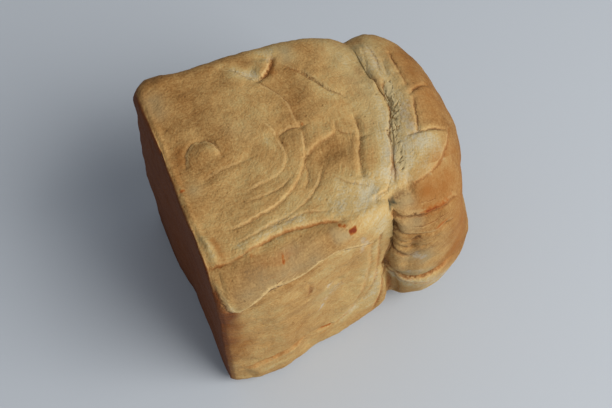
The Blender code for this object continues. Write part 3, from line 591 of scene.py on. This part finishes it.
# Shape of the crust
place = plainLoaf()
normal = outwardNormals(place)
towardFace = {"top": normal[:, :, 2], "near": -normal[:, :, 1]}
facing = {face: softStep(*loaf["faces"], share) for face, share in towardFace.items()}
planes = planesOf(place)
print("plain loaf lofted:", place.shape[0] * place.shape[1], "points")

# stains along the creases: a dark crack that also paints the shade below each step, orange glaze, and a pale lip
# that also paints a highlight on the raised rim
height, across, (crackAndShade, glaze, lip) = creaseShape(planes, facing)
for size, closeness in loaf["uneven"]:
    height += size * crackle(place, closeness)

# the crumb torn open along the seam, rough and full of small holes
torn = {
    "middle": ((118.2, 13), (116.4, 5), (114.8, -3), (111.0, -11.5), (108.2, -19.5), (106.2, -28),
               (104.0, -35)),  # mm on top, from X and Y
    "edge": (1.2, 3.0),  # mm from that line where the crumb begins to end, and where it has ended
    "reach": 9,  # mm
    "ragged": (1.2, 160.0),  # mm by which its edge strays, and how closely
    "holes": ((1.0, 300.0, 4), (0.5, 620.0, 10)),  # patterns of holes: share, closeness and seed
    "holeEdge": (0.12, 0.45),
    "rough": (0.0003, 520.0),  # height and closeness
}
distance = np.full(place.shape[:2], 1e3)
inside = closeTo(planes["top"], facing["top"], torn["middle"], torn["reach"])
distance[inside] = alongPath(planes["top"][inside], torn["middle"])[0]
stray, closeness = torn["ragged"]
crumb = 1 - softStep(*torn["edge"], distance + stray * crackle(place, closeness, 8))
walls = sum(share * np.abs(crackle(place, closeness, seed)) for share, closeness, seed in torn["holes"])
holes = (1 - softStep(*torn["holeEdge"], walls)) * crumb
rough, closeness = torn["rough"]
height += rough * (crackle(place, closeness, 5) - holes) * crumb
height *= softStep(*loaf["underneath"], normal[:, :, 2])

# a deep fold heads for the loaf's long axis, so that it doesn't cross itself at a corner
toAxis = place * (0, 1, 1) / (np.linalg.norm(place[:, :, 1:], axis=2, keepdims=True) + 1e-6)
deep = softStep(*loaf["deep"], -height)[:, :, None]
moved = place + height[:, :, None] * ((1 - deep) * normal + deep * toAxis)
moved[:, :, 0] -= loaf["middle"][0]
moved[:, :, 1] -= loaf["middle"][1]
moved[:, :, 2] += loaf["tin"] / 2
print("creases pressed in:", len(creases))

# How far the crust is baked, from 0 for beige to 1 for dark, darkened further by painted shade in the deeper
# folds, and where the bottom's heat scorched it
baking = {
    "plain": 0.45,
    "tints": {"brown": 0.28, "pale": -0.36, "beige": -0.2},
    "uneven": ((0.05, 45.0, 6), (0.04, 120.0, 7)),  # share, closeness and seed
    "crown": 0.24,  # it stood out of the tin, so it is browner where no tints are drawn
    "crownFrom": (0.108, 0.128),  # X where that begins, and where it is full
    "crownStray": (0.006, 40.0),
    # painted shade: the crust darkens as it sinks deeper into a fold
    "folds": 0.15,
    "foldDepth": (0.0008, 0.004),
    "bottomFaces": (0.35, 0.8),  # the normal's share towards the bottom between which that side is scorched
    "bottomEnds": (0.003, 0.008),  # X between which the scorched bottom ends
    # mm in from the bottom by which the near side is scorched, at each height in mm
    "scorch": ((-65, 0.2), (-40, 0.2), (-15, 1.6), (20, 6.0), (39, 7.5), (41, 6.0), (44, 4.0), (48, 2.4),
               (54, 1.0), (60, -2.0)),
    "scorchStray": (0.6, 2.0),  # mm, on the folded flap and below it
    "scorchEdge": (0.5, 5.5),  # mm, half the width of its edge, on the flap and below it
    "scorched": 0.9,
    "scorchFoot": (0.35, -0.055, 0.030),  # share of it at the foot, and Z from where to where it gets full
    "flapFoot": (0.037, 0.041),  # Z of the folded flap's lower edge
    "beigeGrey": 0.35,  # how much flour lies on the beige tints
}
amounts = tintAmounts(place, planes, facing)
baked = baking["plain"] + sum(share * amounts[tint] for tint, share in baking["tints"].items())
baked += sum(share * crackle(place, closeness, seed) for share, closeness, seed in baking["uneven"])
stray, closeness = baking["crownStray"]
crownAll = softStep(*baking["crownFrom"], place[:, :, 0] + stray * crackle(place, closeness, 11))
baked += baking["crown"] * crownAll * (1 - np.maximum(facing["top"], facing["near"]))
# painted shade, darker where the crust lies deeper in a fold
baked += baking["folds"] * softStep(*baking["foldDepth"], -height)
bottom = softStep(*baking["bottomFaces"], -normal[:, :, 0])
bottom *= 1 - softStep(*baking["bottomEnds"], place[:, :, 0])
# the scorched bottom reaches round the loaf's near edge, below the folded flap
below = 1 - softStep(*baking["flapFoot"], place[:, :, 2])
onFlapAndBelow = (baking["scorchStray"], baking["scorchEdge"])
stray, edge = [least + (most - least) * below for least, most in onFlapAndBelow]
reachIn = smoothCurve(baking["scorch"], place[:, :, 2] * 1000) + stray * crackle(place, 90.0, 9)
wrapped = 1 - softStep(-edge, edge, place[:, :, 0] * 1000 - reachIn)
foot, low, high = baking["scorchFoot"]
wrapped *= facing["near"] * (foot + (1 - foot) * softStep(low, high, place[:, :, 2]))
bottom = over(bottom, baking["scorched"] * wrapped)
layers = {
    "baked": baked,
    "across": across,
    "crackAndShade": crackAndShade,
    "glaze": glaze,
    "lip": lip,
    "toastAndShade": amounts["toastAndShade"],
    "ember": amounts["ember"],
    "grey": over(amounts["grey"], baking["beigeGrey"] * amounts["beige"]),
    "white": amounts["white"],
    "pinchShadow": amounts["pinchShadow"],
    "crumb": crumb,
    "holes": over(holes, amounts["hole"]),
    "bottom": bottom,
}

# Streaks in the crust curl round the knob on top: distance from it, then the direction, which never jumps
knob = {"place": (22, 8, 0), "size": 15, "curl": 45}  # mm
fromKnob = place * 1000 - np.array(knob["place"])
reach = np.hypot(fromKnob[:, :, 0], fromKnob[:, :, 1])
turn = np.arctan2(fromKnob[:, :, 1], fromKnob[:, :, 0])
calm = np.minimum(reach, knob["size"]) / knob["size"] * knob["curl"]
curl = np.stack([reach - fromKnob[:, :, 2], calm * np.cos(turn), calm * np.sin(turn)], axis=2)
print("tints laid:", len(tints))


def withEnds(values):
    # the rings' values in a row, and the mean of the first and last ring for the points that close the loaf
    flat = values.reshape((-1,) + values.shape[2:])
    return np.concatenate([flat, [values[0].mean(axis=0), values[-1].mean(axis=0)]])


count, around = place.shape[:2]
faces = []
for a in range(count - 1):
    for k in range(around):
        j = (k + 1) % around
        faces.append((a * around + k, (a + 1) * around + k, (a + 1) * around + j, a * around + j))
for k in range(around):
    j = (k + 1) % around
    faces.append((k, j, count * around))
    faces.append(((count - 1) * around + k, count * around + 1, (count - 1) * around + j))
crustMesh = bpy.data.meshes.new("loafCrust")
crustMesh.from_pydata(withEnds(moved).tolist(), [], faces)
crustMesh.shade_smooth()
for name, values in layers.items():
    stored = crustMesh.attributes.new(name, "FLOAT", "POINT")
    stored.data.foreach_set("value", withEnds(values).astype(np.float32))
stored = crustMesh.attributes.new("curl", "FLOAT_VECTOR", "POINT")
stored.data.foreach_set("vector", withEnds(curl).astype(np.float32).ravel())
crust = bpy.data.objects.new("loafCrust", crustMesh)
bpy.context.scene.collection.objects.link(crust)
print("crust mesh made:", len(crustMesh.polygons), "faces")

# Crust of white bread, baked against a bare tin: matt and porous, tan where it touched the tin, beige where
# steam kept it pale, and dark brown on the bottom, which lay on the heat.
crustFinish = {
    "cream": "#C4A875", "beige": "#B0A487", "straw": "#AD9361", "tan": "#A4814F", "brown": "#866033",
    "deepBrown": "#55361B", "toasted": "#8B5927", "glazed": "#945722", "ember": "#6E2E12", "flourAndShade": "#928462",
    "steamed": "#A9A9A2", "shadow": "#393B2E", "crumb": "#AE9B72", "hole": "#8A6A3C", "bottom": "#4E2209",
    "bottomLight": "#7A4520",
    "stops": ((0.05, "beige"), (0.26, "straw"), (0.46, "tan"), (0.72, "brown"), (1.0, "deepBrown")),
    "roughness": (0.66, 0.86),
    "ior": 1.45,
    "sheen": 0.18,  # share of the usual mirror shine, because the crust is porous
    "grainSize": 1.1,  # mm
    "streak": (0.9, 5.0),  # mm across and along; real ones are half as wide and would be lost in the render
    "wrinkle": (2.6, 16.0),  # mm across and along
    "poreSize": 2.6,  # mm from one pore to the next
    "poreEdge": (0.12, 0.3),  # of that size
    "poreShare": (0.74, 0.84),  # above these shares of the cells there are pores
    "blotchSize": 9.0,  # mm
    "raggedSize": 1.8,  # mm
    "ragged": 0.9,  # mm by which the edges of stains stray
    "bottomStreak": (60.0, 60.0, 420.0),  # how close the bottom's streaks lie
    # how much browner the patterns bake it, and their mean, which is taken off again
    "shares": {"grain": 0.22, "streaks": 0.14, "blotches": 0.17, "wrinkles": 0.06, "pores": 0.14},
    "shareMean": 0.3,
    "grainDepth": 0.2,  # mm
    "streakDepth": 0.06,  # mm
    "poreDepth": 0.2,  # mm
    "crackDepth": 0.45,  # mm
    "holeDepth": 0.4,  # mm
    # patchy tints: layer, colour, and how much of it at most; both also lay a few painted shadows
    "washes": (("toastAndShade", "toasted", 0.8), ("grey", "flourAndShade", 0.75)),
    "washPatches": (0.7, 0.65),  # share that the blotches make of a wash, and share that is always there
    # bands along the creases: layer, colour, and in mm its middle, how far from it it is full, and where it ends
    # the lip band is partly a painted highlight on the raised rim, the crack band partly painted shade below the
    # step
    "bands": (("lip", "cream", 0.75, 0.3, 0.9), ("glaze", "glazed", -0.1, 0.35, 1.1),
              ("crackAndShade", "deepBrown", -0.2, 0.1, 0.6)),
    "bandPatches": (0.8, 0.45),
    # small marks: layer, colour, and the amounts between which its ragged edge lies. The pinch mark is painted
    # shadow in the crevice where the crown's folds meet its neck.
    "marks": (("white", "steamed", 0.2, 0.8), ("ember", "glazed", 0.15, 0.45), ("ember", "ember", 0.4, 0.7),
              ("pinchShadow", "shadow", 0.2, 0.9), ("crumb", "crumb", 0.3, 0.7), ("holes", "hole", 0.25, 0.8)),
    "markRagged": 0.3,
}


def crustMaterial():
    finish = crustFinish
    material = bpy.data.materials.new("white bread crust, tin baked")
    material.use_nodes = True
    tree = material.node_tree
    shader = tree.nodes["Principled BSDF"]
    where = addNode(tree, "TexCoord").outputs["Object"]
    curled = addNode(tree, "Attribute", attribute_name="curl").outputs["Vector"]
    amount = {}
    for name in layers:
        amount[name] = addNode(tree, "Attribute", attribute_name=name).outputs["Fac"]

    # patterns, each but the last one's contrast stretched to run from 0 to 1
    stretches = {
        "grain": (where, (1000 / finish["grainSize"],) * 3, 3.0),
        "blotches": (where, (1000 / finish["blotchSize"],) * 3, 4.0),
        "ragged": (where, (1000 / finish["raggedSize"],) * 3, 3.0),
        "streaks": (curled, (1 / finish["streak"][0],) + (1 / finish["streak"][1],) * 2, 3.0),
        "wrinkles": (curled, (1 / finish["wrinkle"][0],) + (1 / finish["wrinkle"][1],) * 2, 2.0),
        "scorched": (where, finish["bottomStreak"], 3.0),
    }
    pattern = {}
    for name, (source, stretch, detail) in stretches.items():
        drawn = addNode(tree, "VectorMath", {0: source, 1: stretch}, operation="MULTIPLY")
        noisy = addNode(tree, "TexNoise",
                        {"Vector": drawn, "Scale": 1.0, "Detail": detail, "Roughness": 0.6})
        pattern[name] = noisy.outputs[0]
        if name != "scorched":
            full = addNode(tree, "MapRange", {0: noisy, 1: 0.3, 2: 0.7})
            pattern[name] = full.outputs[0]
    cells = addNode(tree, "TexVoronoi", {"Vector": where, "Scale": 1000 / finish["poreSize"]})
    inner, outer = finish["poreEdge"]
    pits = addNode(tree, "MapRange", {0: cells.outputs["Distance"], 1: inner, 2: outer, 3: 1.0, 4: 0.0})
    least, most = finish["poreShare"]
    someOf = addNode(tree, "MapRange", {0: cells.outputs["Color"], 1: least, 2: most})
    pores = addNode(tree, "Math", {0: pits, 1: someOf}, operation="MULTIPLY")
    pattern["pores"] = pores.outputs[0]

    # how far it is baked, from beige to dark, with painted shade in the deeper folds
    baked = amount["baked"]
    for name, share in finish["shares"].items():
        browner = addNode(tree, "Math", {0: pattern[name], 1: share, 2: baked}, operation="MULTIPLY_ADD")
        baked = browner.outputs[0]
    baked = addNode(tree, "Math", {0: baked, 1: finish["shareMean"]}, operation="SUBTRACT",
                    use_clamp=True)
    ramp = addNode(tree, "ValToRGB", {0: baked})
    while len(ramp.color_ramp.elements) < len(finish["stops"]):
        ramp.color_ramp.elements.new(0.5)
    for element, (position, name) in zip(ramp.color_ramp.elements, finish["stops"]):
        element.position = position
        element.color = linear(finish[name])
    colour = ramp.outputs[0]

    # every colour laid over the crust so far, with the share that each covers
    cover = []
    patchy, always = finish["washPatches"]
    for name, tone, most in finish["washes"]:
        laid = addNode(tree, "Math", {0: pattern["blotches"], 1: patchy, 2: always},
                       operation="MULTIPLY_ADD")
        laid = addNode(tree, "Math", {0: laid, 1: amount[name]}, operation="MULTIPLY")
        laid = addNode(tree, "Math", {0: laid, 1: most}, operation="MULTIPLY", use_clamp=True)
        cover.append((laid.outputs[0], linear(finish[tone])))

    # ragged bands along the creases, each at its distance from the line: pale lip with a painted highlight on
    # the raised rim, orange glaze, and dark crack with painted shade below the step
    strayed = addNode(tree, "Math", {0: pattern["ragged"], 1: -0.5}, operation="ADD").outputs[0]
    line = addNode(tree, "Math", {0: strayed, 1: finish["ragged"], 2: amount["across"]},
                   operation="MULTIPLY_ADD")
    patchy, always = finish["bandPatches"]
    band = {}
    for name, tone, middle, inner, outer in finish["bands"]:
        off = addNode(tree, "Math", {0: line, 1: middle}, operation="SUBTRACT")
        off = addNode(tree, "Math", {0: off}, operation="ABSOLUTE")
        full = addNode(tree, "MapRange", {0: off, 1: inner, 2: outer, 3: 1.0, 4: 0.0})
        kept = addNode(tree, "Math", {0: pattern["blotches"], 1: patchy, 2: always},
                       operation="MULTIPLY_ADD")
        kept = addNode(tree, "Math", {0: kept, 1: amount[name]}, operation="MULTIPLY",
                       use_clamp=True)
        laid = addNode(tree, "Math", {0: full, 1: kept}, operation="MULTIPLY")
        band[name] = laid.outputs[0]
        cover.append((band[name], linear(finish[tone])))

    # small marks with crisp ragged edges
    for name, tone, low, high in finish["marks"]:
        edge = addNode(tree, "Math", {0: strayed, 1: finish["markRagged"], 2: amount[name]},
                       operation="MULTIPLY_ADD")
        laid = addNode(tree, "MapRange", {0: edge, 1: low, 2: high})
        cover.append((laid.outputs[0], linear(finish[tone])))

    # the bottom, with streaks that run along its upper edge
    under = addNode(tree, "Mix", {0: pattern["scorched"], 6: linear(finish["bottom"]),
                                            7: linear(finish["bottomLight"])}, data_type="RGBA")
    cover.append((amount["bottom"], under.outputs[2]))
    for share, tone in cover:
        colour = addNode(tree, "Mix", {0: share, 6: colour, 7: tone}, data_type="RGBA").outputs[2]
    tree.links.new(colour, shader.inputs["Base Color"])
    shader.inputs["IOR"].default_value = finish["ior"]
    shader.inputs["Specular IOR Level"].default_value = finish["sheen"]
    smooth, rough = finish["roughness"]
    matt = addNode(tree, "MapRange", {0: pattern["grain"], 3: smooth, 4: rough})
    tree.links.new(matt.outputs[0], shader.inputs["Roughness"])

    # fine relief in mm
    relief = addNode(tree, "Math", {0: amount["holes"], 1: -finish["holeDepth"]}, operation="MULTIPLY")
    for source, depth in ((pattern["grain"], finish["grainDepth"]), (pattern["streaks"], finish["streakDepth"]),
                          (pattern["wrinkles"], finish["streakDepth"]), (pattern["pores"], -finish["poreDepth"]),
                          (band["crackAndShade"], -finish["crackDepth"]), (band["glaze"], -finish["crackDepth"] / 2),
                          (band["lip"], finish["crackDepth"] / 2)):
        relief = addNode(tree, "Math", {0: source, 1: depth, 2: relief},
                         operation="MULTIPLY_ADD")
    bump = addNode(tree, "Bump", {"Strength": 1.0, "Distance": 0.001, "Height": relief})
    tree.links.new(bump.outputs[0], shader.inputs["Normal"])
    return material


crustMesh.materials.append(crustMaterial())
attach(crust, "root")
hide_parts("loaf")
print("crust finished")

# Pale floor, soft light from the right, and the camera
room = {
    "floorSize": 4.0,
    "floorColour": "#AAB0B8",
    "floorRoughness": 0.6,
    "skyColour": "#E2E8F0",
    "skyStrength": 0.40,
    "lights": (  # name, place, aim, width, height, watts, colour
        ("softbox on the right", (1.05, -1.15, 1.5), (0.0, 0.0, 0.05), 1.5, 1.5, 60.0, "#FFFCF6"),
        ("low softbox in front", (0.1, -1.3, 0.3), (0.0, 0.0, 0.03), 1.4, 0.5, 2.5, "#FFFCF6"),
    ),
    "cameraPlace": (-0.09694, -0.22362, 0.49321),
    "cameraAim": (-0.00375, 0.00588, 0.05),
    "cameraRoll": -0.2,  # degrees
    "lens": 52.94,  # mm
    "sensor": 36.0,  # mm wide
}


def lookAt(place, aim, roll=0.0):
    toward = (Vector(aim) - Vector(place)).to_track_quat("-Z", "Y").to_matrix().to_4x4()
    return Matrix.Translation(place) @ toward @ Matrix.Rotation(math.radians(roll), 4, "Z")


floorMesh = bpy.data.meshes.new("floor")
half = room["floorSize"] / 2
corners = [(-half, -half, 0), (half, -half, 0), (half, half, 0), (-half, half, 0)]
floorMesh.from_pydata(corners, [], [(0, 1, 2, 3)])
floor = bpy.data.objects.new("floor", floorMesh)
bpy.context.scene.collection.objects.link(floor)
# board rolled with matt paint, which shows the loaf's soft shadow and hardly any reflection
floorFinish = bpy.data.materials.new("matt painted floor")
floorFinish.use_nodes = True
paint = floorFinish.node_tree.nodes["Principled BSDF"]
paint.inputs["Base Color"].default_value = linear(room["floorColour"])
paint.inputs["Roughness"].default_value = room["floorRoughness"]
floorMesh.materials.append(floorFinish)

world = bpy.data.worlds.new("room light")
world.use_nodes = True
sky = world.node_tree.nodes["Background"]
sky.inputs[0].default_value = linear(room["skyColour"])
sky.inputs[1].default_value = room["skyStrength"]
bpy.context.scene.world = world
for name, spot, aim, width, tall, watts, colour in room["lights"]:
    lamp = bpy.data.lights.new(name, "AREA")
    lamp.shape = "RECTANGLE"
    lamp.size = width
    lamp.size_y = tall
    lamp.energy = watts
    lamp.color = linear(colour)[:3]
    holder = bpy.data.objects.new(name, lamp)
    holder.matrix_world = lookAt(spot, aim)
    bpy.context.scene.collection.objects.link(holder)

cameraData = bpy.data.cameras.new("camera")
cameraData.sensor_width = room["sensor"]
cameraData.lens = room["lens"]
cameraData.clip_start = 0.01
camera = bpy.data.objects.new("camera", cameraData)
camera.matrix_world = lookAt(room["cameraPlace"], room["cameraAim"], room["cameraRoll"])
bpy.context.scene.collection.objects.link(camera)
bpy.context.scene.camera = camera
bpy.context.scene.view_settings.view_transform = "Standard"
print("room set")
